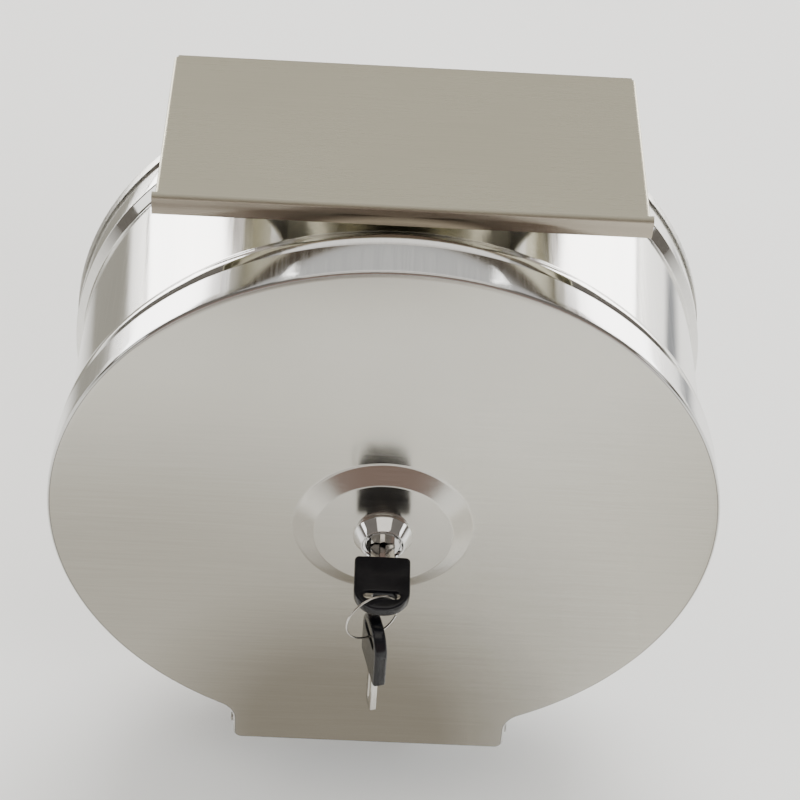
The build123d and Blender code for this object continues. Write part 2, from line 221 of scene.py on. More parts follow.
FACE_GRAIN = (30, 900, 2600)
SHELF_GRAIN = (25, 1800, 1800)
FACE_STEEL = steel(
    "face_stainless", (0.635, 0.615, 0.555), 0.14, FACE_GRAIN, 0.016, 0.015, 0.006, "Z", 0.6)
BOSS_STEEL = steel("boss_stainless", (0.65, 0.63, 0.58), 0.16, FACE_GRAIN, 0.02, 0.015, 0.008, "Z", 0.5)
# darker steel for the cover fold's band next to the face: painted shade, a dark line along the face's
# edge
EDGE_SHADE_STEEL = steel("edge_painted_shade", (0.33, 0.315, 0.29), 0.24, (60, 60, 60), 0.03, 0.03)
RIM_STEEL = steel("rim_stainless", (0.74, 0.735, 0.72), 0.13, (900, 25, 900), 0.025, 0.015, 0.012, "Y")
DRUM_STEEL = steel("drum_stainless", (0.76, 0.75, 0.72), 0.08, (700, 22, 700), 0.02, 0.01, 0.008, "Y")
# lighter steel for the shelf brackets, which sit in shade: painted light, so their reflections in the
# drum show bright
BRACKET_LIT_STEEL = steel("bracket_painted_light", (0.80, 0.79, 0.76), 0.45, (300, 40, 300))
SHELF_STEEL = steel("shelf_stainless", (0.60, 0.57, 0.445), 0.29, SHELF_GRAIN, 0.03, 0.02, 0.02, "Y")
# slightly darker, rough copy of the shelf's steel for the lip's fold: painted shade, a tone between top
# and lip
SHELF_FOLD_SHADE_STEEL = steel("shelf_fold_painted_shade", (0.56, 0.53, 0.43), 0.55, (60, 60, 60), 0.02, 0.02, 0.01)
# darker copy of the shelf's steel for its front lip: painted shade
LIP_SHADE_STEEL = steel("shelf_lip_painted_shade", (0.475, 0.425, 0.345), 0.23, SHELF_GRAIN, 0.02, 0.02, 0.01, "Y")
SATIN_STEEL = steel("satin_stainless", (0.62, 0.61, 0.58), 0.28, (300, 40, 300), 0.015, 0.015, 0.006)
ZINC_STEEL = steel("zinc_steel", (0.55, 0.54, 0.51), 0.30, (500, 500, 500), 0.06, 0.05)
CHROME = steel("chrome", (0.86, 0.86, 0.86), 0.05, (400, 400, 400), 0.015, 0.01, 0.0)
NICKEL = steel("nickel", (0.74, 0.72, 0.68), 0.16, (900, 900, 900), 0.05, 0.03)
BLACK_PLASTIC = plastic("black_plastic", (0.006, 0.006, 0.008), 0.19, 1500.0, 0.02, 0.42)
HUB_PLASTIC = plastic("hub_plastic", (0.17, 0.17, 0.18), 0.42, 2200.0, 0.10, 0.5)
SLOT_FINISH = {
    "brushed_stainless": SATIN_STEEL, "satin_stainless": SATIN_STEEL, "zinc_steel": ZINC_STEEL,
    "chrome": CHROME, "nickel": NICKEL, "black_plastic": BLACK_PLASTIC, "hub_plastic": HUB_PLASTIC,
}
node_slot = {row["node"]: row["material_slot"] for row in frame["record"]["subparts"]}
body_of = {name: body for body, names in frame["record"]["behaviour"]["bodies"].items() for name in names}


# ---------------------------------------------------------------- mesh helpers
def rounded(points, radii, steps=6):
    """An open line of 2-D points with its inner corners turned into arcs."""
    if not isinstance(radii, (list, tuple)):
        radii = [radii] * (len(points) - 2)
    line = [Vector(points[0])]
    for before, corner, after, radius in zip(points, points[1:], points[2:], radii):
        corner = Vector(corner)
        back = (Vector(before) - corner).normalized()
        ahead = (Vector(after) - corner).normalized()
        half = back.angle(ahead) / 2
        centre = corner + (back + ahead).normalized() * (radius / sin(half))
        start = corner + back * (radius / tan(half)) - centre
        end = corner + ahead * (radius / tan(half)) - centre
        turn = start.angle(end)
        for step in range(steps + 1):
            part = step / steps
            line.append(centre + (sin((1 - part) * turn) * start + sin(part * turn) * end) / sin(turn))
    line.append(Vector(points[-1]))
    return line


def join_rows(bm, low, high, closed=True):
    """Quads from one row of vertices to the next; returns the faces."""
    count = len(low)
    faces = []
    for i in range(count if closed else count - 1):
        j = (i + 1) % count
        faces.append(bm.faces.new((low[i], low[j], high[j], high[i])))
    return faces


def ring_rows(bm, rows, closed=True):
    """Quads between rows of points (in metres); each row has the same number of points.

    Returns the rows of vertices and the faces."""
    made = [[bm.verts.new(point) for point in row] for row in rows]
    faces = []
    for low, high in zip(made, made[1:]):
        faces += join_rows(bm, low, high, closed)
    return made, faces


def turned(profile, segments, gap=None):
    """Rows of points for a profile of (radius, y) turned about the Y axis.

    gap gives, for a radius, the angle left open on each side of straight down."""
    rows = []
    for radius, y in profile:
        open_angle = gap(radius) if gap else 0.0
        sweep = 2 * pi - 2 * open_angle
        count = segments + 1 if gap else segments
        row = []
        for i in range(count):
            angle = -pi / 2 + open_angle + sweep * i / segments
            row.append(Vector((radius * cos(angle), y, radius * sin(angle))) * MM)
        rows.append(row)
    return rows


def new_object(name, bm):
    """The bmesh as an object in the scene."""
    mesh = bpy.data.meshes.new(name)
    bm.to_mesh(mesh)
    bm.free()
    made = bpy.data.objects.new(name, mesh)
    bpy.context.scene.collection.objects.link(made)
    return made


def apply_modifiers(piece):
    """Gives a piece the mesh that its modifiers make, and removes them."""
    bpy.context.view_layer.update()
    evaluated = piece.evaluated_get(bpy.context.evaluated_depsgraph_get())
    baked = bpy.data.meshes.new_from_object(evaluated)
    piece.modifiers.clear()
    piece.data = baked


def hand_over(piece, body, node_name, sharp):
    """Smooths a finished piece, which rides on a body and stands for a CAD node."""
    for face in piece.data.polygons:
        face.use_smooth = True
    piece.data.set_sharp_from_angle(angle=radians(sharp))
    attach(piece, body)
    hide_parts(node_name)


def finish_piece(name, bm, materials, body, node_name, thick=0.0, bevel=0.0, sharp=35.0):
    """Turns a bmesh into a named piece; an open skin gets the sheet's thickness."""
    bmesh.ops.remove_doubles(bm, verts=bm.verts, dist=1e-7)
    bmesh.ops.recalc_face_normals(bm, faces=bm.faces)
    piece = new_object(name, bm)
    for finish in materials:
        piece.data.materials.append(finish)
    if thick:
        solid = piece.modifiers.new("sheet", "SOLIDIFY")
        solid.thickness = thick
        solid.offset = -1.0
        solid.use_even_offset = True
    if bevel:
        edge = piece.modifiers.new("edge", "BEVEL")
        edge.width = bevel
        edge.segments = 2
        edge.limit_method = "ANGLE"
        edge.angle_limit = radians(50)
        edge.use_clamp_overlap = True
    if piece.modifiers:
        apply_modifiers(piece)
    hand_over(piece, body, node_name, sharp)


def refined(name, bevel, finish=None):
    """A copy of a CAD node with its hard edges broken, which stands for the node."""
    bm = bmesh.new()
    bm.from_mesh(nodes[name].data)
    bmesh.ops.remove_doubles(bm, verts=bm.verts, dist=2e-6)
    bmesh.ops.dissolve_limit(bm, angle_limit=radians(1.0), verts=bm.verts, edges=bm.edges)
    slot = node_slot[name]
    finish_piece(
        name + "_finish", bm, [finish or SLOT_FINISH[slot]], body_of[name], name, bevel=bevel)


# ---------------------------------------------------------------- front cover
def arc_points(centre, radius, start, end, steps, facing=1):
    """(point, outward normal) pairs along an arc; facing is -1 where the sheet is outside the arc."""
    made = []
    for i in range(steps + 1):
        angle = start + (end - start) * i / steps
        normal = Vector((cos(angle), sin(angle)))
        made.append((Vector(centre) + radius * normal, normal * facing))
    return made


def straight(start, end, normal, steps):
    """(point, outward normal) pairs along a straight line."""
    return [(Vector(start).lerp(Vector(end), i / steps), Vector(normal)) for i in range(steps + 1)]


def cover_outline():
    """The cover's outline in (x, z) with outward normals: round rim, blends, flat-bottomed skirt."""
    blend_x = SKIRT_HALF + SKIRT_BLEND
    blend_z = -sqrt((COVER_RADIUS + SKIRT_BLEND) ** 2 - blend_x ** 2)
    reach = atan2(-blend_z, blend_x)
    corner_x = SKIRT_HALF - SKIRT_CORNER
    corner_z = -SKIRT_DROP + SKIRT_CORNER
    parts = [
        arc_points((0, 0), COVER_RADIUS, -reach, pi + reach, 320),
        arc_points((-blend_x, blend_z), SKIRT_BLEND, reach, 0, 14, -1),
        straight((-SKIRT_HALF, blend_z), (-SKIRT_HALF, corner_z), (-1, 0), 4),
        arc_points((-corner_x, corner_z), SKIRT_CORNER, pi, 1.5 * pi, 8),
        straight((-corner_x, -SKIRT_DROP), (corner_x, -SKIRT_DROP), (0, -1), 44),
        arc_points((corner_x, corner_z), SKIRT_CORNER, -0.5 * pi, 0, 8),
        straight((SKIRT_HALF, corner_z), (SKIRT_HALF, blend_z), (1, 0), 4),
        arc_points((blend_x, blend_z), SKIRT_BLEND, pi, pi - reach, 14, -1),
    ]
    line = []
    for part in parts:
        line += part[1:]
    return line


def boss_profile():
    """(radius, height) of the raised centre, from its foot to the lock's hole."""
    points = [(BOSS_START, 0), (BOSS_SLOPE_FOOT, 0), (BOSS_FLAT, BOSS_HEIGHT), (LOCK_RADIUS, BOSS_HEIGHT)]
    foot_fillet, brow_fillet = 3.4, 2.0
    return rounded(points, [foot_fillet, brow_fillet], 9)


def make_front_cover():
    """One pressed sheet: rim, fold, face and raised centre, each with its own finish; the fold's last
    band, next to the face, is painted darker as shade.
    """
    outline = cover_outline()
    face_y = -DEPTH
    bm = bmesh.new()
    rows = []
    rim_depths = [COVER_REAR, COVER_REAR + 1.5, COVER_REAR + 6, DEPTH - FOLD - 3, DEPTH - FOLD]
    for depth in rim_depths:
        rows.append([Vector((p.x, -depth, p.y)) * MM for p, n in outline])
    for step in range(1, 7):
        angle = pi / 2 * step / 6
        inward = FOLD * (1 - cos(angle))
        y = face_y + FOLD * (1 - sin(angle))
        rows.append([Vector((p.x - n.x * inward, y, p.y - n.y * inward)) * MM for p, n in outline])
    rim_rows = len(rows) - 1
    edge = [p - n * FOLD for p, n in outline]
    boss_edge = [p.normalized() * BOSS_START for p in edge]
    for share in (0.02, 0.08, 0.25, 0.5, 0.75, 0.94):
        line = [a.lerp(b, share) for a, b in zip(edge, boss_edge)]
        rows.append([Vector((p.x, face_y, p.y)) * MM for p in line])
    for radius, height in boss_profile():
        directions = [p.normalized() for p in edge]
        rows.append([Vector((p.x * radius, face_y - height, p.y * radius)) * MM for p in directions])
    faces = ring_rows(bm, rows)[1]
    boss_row = rim_rows + 8
    finishes = [RIM_STEEL, FACE_STEEL, EDGE_SHADE_STEEL, BOSS_STEEL]
    for index, face in enumerate(faces):
        row = index // len(outline)
        finish = RIM_STEEL
        if row >= boss_row:
            finish = BOSS_STEEL
        elif row >= rim_rows:
            finish = FACE_STEEL
        # the fold's last band: painted shade, a dark line along the face's edge
        elif row == rim_rows - 1:
            finish = EDGE_SHADE_STEEL
        face.material_index = finishes.index(finish)
    finish_piece(
        "cover_sheet", bm, finishes, "cover", "front_cover",
        thick=SHEET * MM, sharp=40)


# ---------------------------------------------------------------- housing shells
def mouth_gap(radius):
    """Angle from straight down to the outlet's side, so that the band ends on a flat line."""
    return asin(MOUTH_HALF / radius)


def make_drum_wall():
    """The round band: a raised collar at each end, and a rolled lip inside the cover."""
    lip, collar, wall = 134.0, 137.0, 133.5
    points = [
        (lip, -SHEET), (lip, -6.2), (collar - 0.1, -6.9), (collar, -18.4), (wall, -22.4), (wall, -90.0),
        (collar - 0.6, -94.6), (collar + 0.1, -97.6), (collar - 0.7, -101.2), (lip, -101.9),
        (lip, -110.0),
    ]
    radii = [0.5, 0.5, 1.6, 2.4, 3.0, 1.5, 5.0, 0.6, 0.4]
    bm = bmesh.new()
    ring_rows(bm, turned(rounded(points, radii, 5), 320, mouth_gap), closed=False)
    finish_piece(
        "drum_band", bm, [DRUM_STEEL], "housing", "drum_wall",
        thick=SHEET * MM, sharp=40)


def circle_points(centre_x, centre_z, radius, count):
    """A circle on the wall's plane."""
    angles = [2 * pi * i / count for i in range(count)]
    return [Vector((centre_x + radius * cos(a), 0, centre_z + radius * sin(a))) * MM for a in angles]


def fill_between(bm, loops):
    """One flat face with holes: loops are closed rows of bmesh vertices."""
    edges = []
    for loop in loops:
        for a, b in zip(loop, loop[1:] + loop[:1]):
            edges.append(bm.edges.get((a, b)) or bm.edges.new((a, b)))
    return bmesh.ops.triangle_fill(bm, use_beauty=True, use_dissolve=False, edges=edges)


def make_back_pan():
    """The flat pan against the wall, with its rim and four screw holes."""
    bm = bmesh.new()
    rim = rounded([(PAN_RADIUS, -PAN_RIM), (PAN_RADIUS, 0), (PAN_RADIUS - 14, 0)], 1.3, 6)
    profile = [(PAN_RADIUS - 0.35, -PAN_RIM)] + [(p.x, p.y) for p in rim[1:]]
    loops = [ring_rows(bm, turned(profile, 256))[0][-1]]
    for x in (-SCREW_X, SCREW_X):
        for z in (-SCREW_Z, SCREW_Z):
            loops.append([bm.verts.new(p) for p in circle_points(x, z, SCREW_HOLE, 28)])
    fill_between(bm, loops)
    finish_piece(
        "pan_sheet", bm, [SATIN_STEEL], "housing", "back_pan",
        thick=SHEET * MM, sharp=40)


def flat_strip(start, end, steps):
    """Depths from start to end, both left out."""
    return [start + (end - start) * step / steps for step in range(1, steps)]


def make_shelf():
    """Folded plate: rear fold, top, front lip, and a turned-down flange on each side."""
    side = SHELF_HALF - SHELF_INSET
    notch = SHELF_FRONT + SHELF_NOTCH
    narrowing = 0.02  # depth of the step where the plate gets narrower
    rear_low = SHELF_TOP - SHELF_REAR_FLANGE
    lip_low = SHELF_TOP - SHELF_LIP
    corners = [(0, rear_low), (0, SHELF_TOP), (SHELF_FRONT, SHELF_TOP), (SHELF_FRONT, lip_low)]
    stations = []
    for point in rounded(corners, SHELF_FOLD, 6):
        stations.append(point)
        if abs(point.y - SHELF_TOP) < 1e-4 and abs(point.x + SHELF_FOLD) < 1e-4:
            depths = flat_strip(-SHELF_FOLD, notch, 12) + [notch, notch - narrowing]
            stations += [Vector((depth, SHELF_TOP)) for depth in depths]
    columns = 40
    shares = [2 * i / columns - 1 for i in range(columns + 1)]
    bm = bmesh.new()
    rows = []
    for point in stations:
        wide = SHELF_HALF if point.x < notch - narrowing / 2 else side - SHELF_FOLD
        rows.append([Vector((wide * share, point.x, point.y)) * MM for share in shares])
    ring_rows(bm, rows, closed=False)
    side_low = SHELF_TOP - SHELF_SIDE_FLANGE
    side_corners = [(side - SHELF_FOLD, SHELF_TOP), (side, SHELF_TOP), (side, side_low)]
    rear = -SHELF_FOLD - 0.6
    depths = [rear + (notch - rear) * step / 12 for step in range(13)]
    for sign in (-1, 1):
        fold_line = rounded(side_corners, SHELF_FOLD - 0.001, 6)
        fold_rows = [[Vector((sign * point.x, y, point.y)) * MM for y in depths] for point in fold_line]
        ring_rows(bm, fold_rows, closed=False)
    bmesh.ops.recalc_face_normals(bm, faces=bm.faces)
    for face in bm.faces:
        centre = face.calc_center_median()
        outward = centre - Vector((0, SHELF_FRONT / 2 * MM, centre.z))
        if centre.z > (SHELF_TOP - 0.8) * MM:
            outward = Vector((0, 0, 1))
        if face.normal.dot(outward) < 0:
            face.normal_flip()
    finish_shelf(new_object("shelf_plate", bm))


def finish_shelf(piece):
    """The shelf's folds are separate strips, so its thickness is added without merging them."""
    finishes = [SHELF_STEEL, LIP_SHADE_STEEL, SHELF_FOLD_SHADE_STEEL]
    for finish in finishes:
        piece.data.materials.append(finish)
    solid = piece.modifiers.new("sheet", "SOLIDIFY")
    solid.thickness = SHELF_SHEET * MM
    solid.offset = -1.0
    apply_modifiers(piece)
    # The front lip and the fold above it get darker copies of the shelf's steel: painted shade, since
    # they are the same sheet.
    for face in piece.data.polygons:
        at_front = face.center.y < (SHELF_FRONT + SHELF_FOLD + 0.2) * MM
        if at_front and face.normal.y < -0.05 and face.normal.z > -0.5:
            finish = LIP_SHADE_STEEL if face.normal.y < -0.98 else SHELF_FOLD_SHADE_STEEL
            face.material_index = finishes.index(finish)
    hand_over(piece, "housing", "shelf", 40)


# ---------------------------------------------------------------- lock
def make_lock_body():
    """Chrome bezel and threaded barrel, turned in one piece."""
    seat = DEPTH + BOSS_HEIGHT
    recess = PLUG_RADIUS + 0.75
    recess_floor = -LOCK_FACE + 2.4
    front = [
        (recess, recess_floor), (recess, -LOCK_FACE + 0.5), (PLUG_RADIUS + 1.0, -LOCK_FACE),
        (BEZEL_FACE, -LOCK_FACE), (BEZEL_RADIUS, -seat - 1.3), (BEZEL_RADIUS, -seat - 0.02),
        (LOCK_RADIUS, -seat - 0.02),
    ]
    bore = PLUG_RADIUS + 0.05
    profile = [(bore, -BARREL_REAR), (bore, recess_floor)]
    profile += [tuple(p) for p in rounded(front, [0.2, 0.2, 0.35, 0.7, 0.3], 5)]
    pitch = 1.0
    thread_depth = 0.45
    y = -seat + pitch
    while y < -BARREL_REAR - pitch:
        profile.append((LOCK_RADIUS, y))
        profile.append((LOCK_RADIUS - thread_depth, y + pitch / 2))
        y += pitch
    profile.append((LOCK_RADIUS - 0.3, y))
    profile.append((LOCK_RADIUS - 0.8, -BARREL_REAR))
    bm = bmesh.new()
    made = ring_rows(bm, turned(profile, 96))[0]
    join_rows(bm, made[-1], made[0])
    finish_piece("lock_bezel", bm, [CHROME], "cover", "lock_body", sharp=30)


def keyway_outline():
    """The wavy slot that the key's milled blade fits, in (x, z)."""
    half = 5.0
    top = [(-half, 0.5), (-3.2, 1.9), (-1.4, 1.5), (0.4, 2.3), (2.2, 1.5), (3.6, 1.7), (half, 0.6)]
    low = [(half, -1.3), (-half, -1.3)]
    return [Vector(p) for p in top + low]


def make_lock_plug():
    """The turning plug: bright face with a broken edge and a deep keyway; tail towards the cam."""
    face = -LOCK_FACE + 0.45
    tail_radius = 3.0
    tail_end = -97.4
    keyway_depth = 16
    outer = [(PLUG_RADIUS, -BARREL_REAR), (PLUG_RADIUS, face + 1.2), (PLUG_RADIUS - 0.1, face + 0.5),
             (PLUG_RADIUS - 0.55, face)]
    tail = [(tail_radius - 0.8, tail_end), (tail_radius, tail_end - 0.6), (tail_radius, -BARREL_REAR),
            (PLUG_RADIUS - 0.3, -BARREL_REAR - 0.01)]
    bm = bmesh.new()
    made = ring_rows(bm, turned(tail + outer, 72))[0]
    bm.faces.new(made[0])
    slot_face = [bm.verts.new(Vector((p.x, face, p.y)) * MM) for p in keyway_outline()]
    slot_deep = [bm.verts.new(Vector((p.x, face + keyway_depth, p.y)) * MM) for p in keyway_outline()]
    fill_between(bm, [made[-1], slot_face])
    join_rows(bm, slot_face, slot_deep)
    bm.faces.new(slot_deep)
    finish_piece("plug_barrel", bm, [CHROME], "plug", "lock_plug", sharp=30)


# ---------------------------------------------------------------- keys and ring
HEAD_WIDTH = 22.6
HEAD_LENGTH = 28.0
HEAD_THICK = 5.2
HEAD_CORNER = 10.5
KEY_SHOULDER = 136.4
SLOT_LONG = 15.0
SLOT_WIDE = 4.0
SLOT_EDGE = 5.3
BLADE_WIDE = 9.6
BLADE_THICK = 2.2
BLADE_LONG = 25.0
BOW_LEFT = 3.4
BOW_RIGHT = 5.9
BOW_THICK = 3.4


def head_outline():
    """(point, outward normal) round a key's head: origin at the shoulder, +Y to the ring end."""
    half = HEAD_WIDTH / 2
    near, far = 2.0, HEAD_CORNER
    top = HEAD_LENGTH
    parts = [
        arc_points((half - near, near), near, -pi / 2, 0, 6),
        straight((half, near), (half, top - far), (1, 0), 6),
        arc_points((half - far, top - far), far, 0, pi / 2, 18),
        arc_points((-half + far, top - far), far, pi / 2, pi, 18),
        straight((-half, top - far), (-half, near), (-1, 0), 6),
        arc_points((-half + near, near), near, pi, 1.5 * pi, 6),
        straight((-half + near, 0), (half - near, 0), (0, -1), 8),
    ]
    return [pair for part in parts for pair in part[1:]]


def slot_outline():
    """(point, outward normal) round the slot that the ring passes through."""
    radius = SLOT_WIDE / 2
    reach = SLOT_LONG / 2 - radius
    middle = HEAD_LENGTH - SLOT_EDGE - radius
    parts = [
        arc_points((reach, middle), radius, -pi / 2, pi / 2, 14),
        straight((reach, middle + radius), (-reach, middle + radius), (0, 1), 8),
        arc_points((-reach, middle), radius, pi / 2, 1.5 * pi, 14),
        straight((-reach, middle - radius), (reach, middle - radius), (0, -1), 8),
    ]
    return [pair for part in parts for pair in part[1:]]


def key_head_mesh(place):
    """The moulded head: rounded edges, and a slot for the ring."""
    edge = 1.25
    lip = 0.45
    half = HEAD_THICK / 2
    bm = bmesh.new()

    def skin(outline, sign, soft):
        rows = []
        for step in range(-6, 7):
            angle = pi / 2 * step / 6
            inward = soft * (1 - cos(angle))
            z = (half - soft) * (1 if step > 0 else -1 if step < 0 else 0) + soft * sin(angle)
            rows.append([place @ (Vector((p.x - sign * n.x * inward, p.y - sign * n.y * inward, z)) * MM)
                         for p, n in outline])
        return ring_rows(bm, rows)[0]

    outer = skin(head_outline(), 1, edge)
    inner = skin(slot_outline(), -1, lip)
    for end in (0, -1):
        fill_between(bm, [outer[end], inner[end]])
    return bm


def blade_outline():
    """The serrated blade, in the key's own plane."""
    half = BLADE_WIDE / 2
    cuts = [(0.0, -6.0), (1.4, -7.6), (1.4, -8.8), (0.4, -10.4), (0.4, -11.2), (2.0, -13.0), (2.0, -14.0),
            (0.8, -15.6), (0.8, -16.6), (1.7, -18.2), (1.7, -19.4), (0.6, -21.0), (0.9, -22.4)]
    left = [Vector((-half + cut, y)) for cut, y in cuts]
    slant = 2.8
    tip = [Vector((-half + slant, -BLADE_LONG)), Vector((half - slant, -BLADE_LONG)),
           Vector((half, -BLADE_LONG + slant))]
    return [Vector((-half, 0.3))] + left + tip + [Vector((half, 0.3))]


def key_blade_mesh(place):
    """A milled blade: one long groove on each side, broken edges."""
    half = BLADE_THICK / 2
    bm = bmesh.new()
    outline = blade_outline()
    low = [bm.verts.new(place @ (Vector((p.x, p.y, -half)) * MM)) for p in outline]
    high = [bm.verts.new(place @ (Vector((p.x, p.y, half)) * MM)) for p in outline]
    join_rows(bm, low, high)
    for side, z, depth in ((low, -half, 0.45), (high, half, -0.45)):
        groove = [(-1.5, 0.4), (-1.5, -20.5), (1.1, -20.5), (1.1, 0.4)]
        lip_loop = [bm.verts.new(place @ (Vector((x, y - 0.5, z)) * MM)) for x, y in groove]
        sunk = [Vector((x * 0.7, y - 0.5, z + depth)) for x, y in groove]
        floor_loop = [bm.verts.new(place @ (point * MM)) for point in sunk]
        fill_between(bm, [side, lip_loop])
        join_rows(bm, lip_loop, floor_loop)
        bm.faces.new(floor_loop)
    add_bow(bm, place)
    return bm


def add_bow(bm, place):
    """The ends of the blade's metal bow, which show inside the slot of the moulded head."""
    middle = HEAD_LENGTH - SLOT_EDGE - SLOT_WIDE / 2
    reach = SLOT_LONG / 2 + 0.6
    for near, sign in ((BOW_LEFT, -1), (BOW_RIGHT, 1)):
        outline = [(near, middle - 1.2), (near + 0.8, middle), (near, middle + 1.2),
                   (reach, middle + SLOT_WIDE / 2), (reach, middle - SLOT_WIDE / 2)]
        outline = [(sign * x, y) for x, y in outline]
        low = [bm.verts.new(place @ (Vector((x, y, -BOW_THICK / 2)) * MM)) for x, y in outline]
        high = [bm.verts.new(place @ (Vector((x, y, BOW_THICK / 2)) * MM)) for x, y in outline]
        join_rows(bm, low, high)
        bm.faces.new(low)
        bm.faces.new(high)


def key_place():
    """The key in the lock: its plane lies flat, the head's end points away from the cover."""
    turn = Matrix(((1, 0, 0), (0, -1, 0), (0, 0, -1))).to_4x4()
    return Matrix.Translation(Vector((0, -KEY_SHOULDER, 0)) * MM) @ turn


RING_MEAN = 11.4
RING_CENTRE = Vector((-3.4, -161.0, -6.9))
RING_TURN = radians(28.0)
SPARE_TURN = radians(14.0)
SPARE_ALONG = -2.2
SPARE_OFFSET = 0.5
HANG_PLAY = 1.4
RING_ALONG = Vector((-cos(RING_TURN), -sin(RING_TURN), 0))
RING_NORMAL = Vector((-sin(RING_TURN), cos(RING_TURN), 0))


def spare_place():
    """The spare key hangs from the ring, its flat side turned nearly square to the cover."""
    across = Vector((sin(SPARE_TURN), -cos(SPARE_TURN), 0))
    up = Vector((0, 0, 1))
    facing = across.cross(up)
    top = RING_CENTRE.z - sqrt(RING_MEAN ** 2 - SPARE_ALONG ** 2) + HANG_PLAY + SLOT_EDGE
    origin = RING_CENTRE + SPARE_ALONG * RING_ALONG - SPARE_OFFSET * across
    origin.z = top - HEAD_LENGTH
    turn = Matrix((across, up, facing)).transposed().to_4x4()
    return Matrix.Translation(origin * MM) @ turn


def make_ring():
    """A split ring: two turns of flattened wire side by side, with their free ends cut square."""
    turns = 1.93
    steps = 260
    first_end = radians(200)
    turn_pitch = 0.56
    wire_wide, wire_thick = 0.34, 0.27
    up = Vector((0, 0, 1))
    rows = []
    for i in range(steps + 1):
        angle = first_end + 2 * pi * turns * i / steps
        out = cos(angle) * RING_ALONG + sin(angle) * up
        shift = turn_pitch * (i / steps - 0.5)
        centre = RING_CENTRE + RING_MEAN * out + RING_NORMAL * shift
        row = []
        for k in range(12):
            around = 2 * pi * k / 12
            wide, thick = wire_wide * cos(around), wire_thick * sin(around)
            row.append((centre + out * wide + RING_NORMAL * thick) * MM)
        rows.append(row)
    bm = bmesh.new()
    made = ring_rows(bm, rows)[0]
    bm.faces.new(made[0])
    bm.faces.new(made[-1])
    finish_piece("split_ring", bm, [NICKEL], "ring", "key_ring", sharp=45)


def make_keys():
    """The key in the lock and the spare on the ring, each a moulded head and a metal blade."""
    for name, body, place in (("key", "key", key_place()), ("spare_key", "spare", spare_place())):
        finish_piece(
            name + "_grip", key_head_mesh(place), [BLACK_PLASTIC], body, name + "_head",
            sharp=50)
        finish_piece(
            name + "_bit", key_blade_mesh(place), [NICKEL], body, name + "_blade",
            bevel=0.12 * MM, sharp=30)


make_front_cover()
make_drum_wall()
make_back_pan()
make_shelf()
make_lock_body()
make_lock_plug()
make_keys()
make_ring()

EDGE_BREAK = {
    "outlet_cheek_left": 0.15, "outlet_cheek_right": 0.15, "rear_skirt": 0.12,
    "tear_blade_left": 0.1, "tear_blade_right": 0.1, "blade_rivets": 0.1,
    "shelf_bracket_left": 0.15, "shelf_bracket_right": 0.15,
    "spindle_plate": 0.3, "spindle_rivets": 0.15, "spindle_tube": 0.3,
    "catch_plate": 0.2, "hub_retainer": 0.3,
    "hinge_pin_left": 0.12, "hinge_pin_right": 0.12, "hinge_bush_left": 0.15, "hinge_bush_right": 0.15,
    "lock_washer": 0.12, "lock_nut": 0.3, "lock_cam": 0.2, "cam_screw": 0.12, "core_hub": 0.4,
}
# the shelf brackets get the lighter steel: painted light
for name, width in EDGE_BREAK.items():
    refined(name, width * MM, BRACKET_LIT_STEEL if "bracket" in name else None)


# ---------------------------------------------------------------- floor and light
FLOOR_DROP = 0.057
FLOOR_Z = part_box("front_cover")[0].z - FLOOR_DROP
FLOOR_PAINT = (0.86, 0.855, 0.835)
WORLD_COLOR = (0.42, 0.385, 0.345, 1)
WORLD_STRENGTH = 0.45

# name, place, point it faces, size, watts, colour; metres
LIGHTS = [
    ("ceiling", (0, 1.5, 1.7), (0, 0, 0), (4.0, 1.9), 13, (0.96, 0.985, 1.0)),
    ("back_wall", (0, 1.9, 0.75), (0, 0, 0.75), (4.6, 1.3), 8, (1.0, 0.90, 0.82)),
    ("lock_top", (0.05, -0.70, 1.40), (0, -0.13, 0), (1.5, 0.50), 2.5, (1.0, 0.95, 0.86)),
]
# the same, for lights on both sides; the place is the right-hand one
PAIRED_LIGHTS = [
    ("back_window", (1.10, 1.25, 0.19), (0, 0, 0.05), (0.80, 0.72), 14, (1.0, 0.99, 0.98)),
    ("strip", (0.78, 1.25, 0.95), (0, 0, 0), (0.05, 0.5), 0.6, (1.0, 1.0, 0.98)),
    ("lock_side", (1.3, -0.32, 0.26), (0, -0.13, 0), (0.34, 0.26), 0.65, (1.0, 1.0, 1.0)),
]
# the same, for lights that reflections leave out
FLOOR_LIGHTS = [
    ("floor_back", (0.10, 0.95, 1.65), (0, 0, 0), (0.9, 0.9), 50, (1.0, 0.995, 0.98)),
    ("floor_front", (0.85, -1.15, 1.0), (0.50, -0.55, -0.2), (0.7, 0.7), 14, (0.88, 0.95, 1.0)),
    ("floor_soft", (-0.15, -0.55, 1.9), (0, -0.1, 0), (1.4, 1.4), 14, (1.0, 0.985, 0.95)),
]
# the same; it lights nothing, and only reflections show it
OVERHEAD_LIGHT = (
    "overhead", (0, 0.45, 2.3), (0, 0.45, 0), (3.0, 1.9), 12, (1.0, 0.97, 0.94))
# a painted reflection: a glowing card's name, place, point it faces, size, colour, soft share of its
# radius
PAINTED_FRONT_REFLECTION = (
    "painted_reflection_front", (0, -1.6, 0.35), (0, 0, 0.35), (4.0, 1.1), (0.30, 0.22, 0.19), 0)
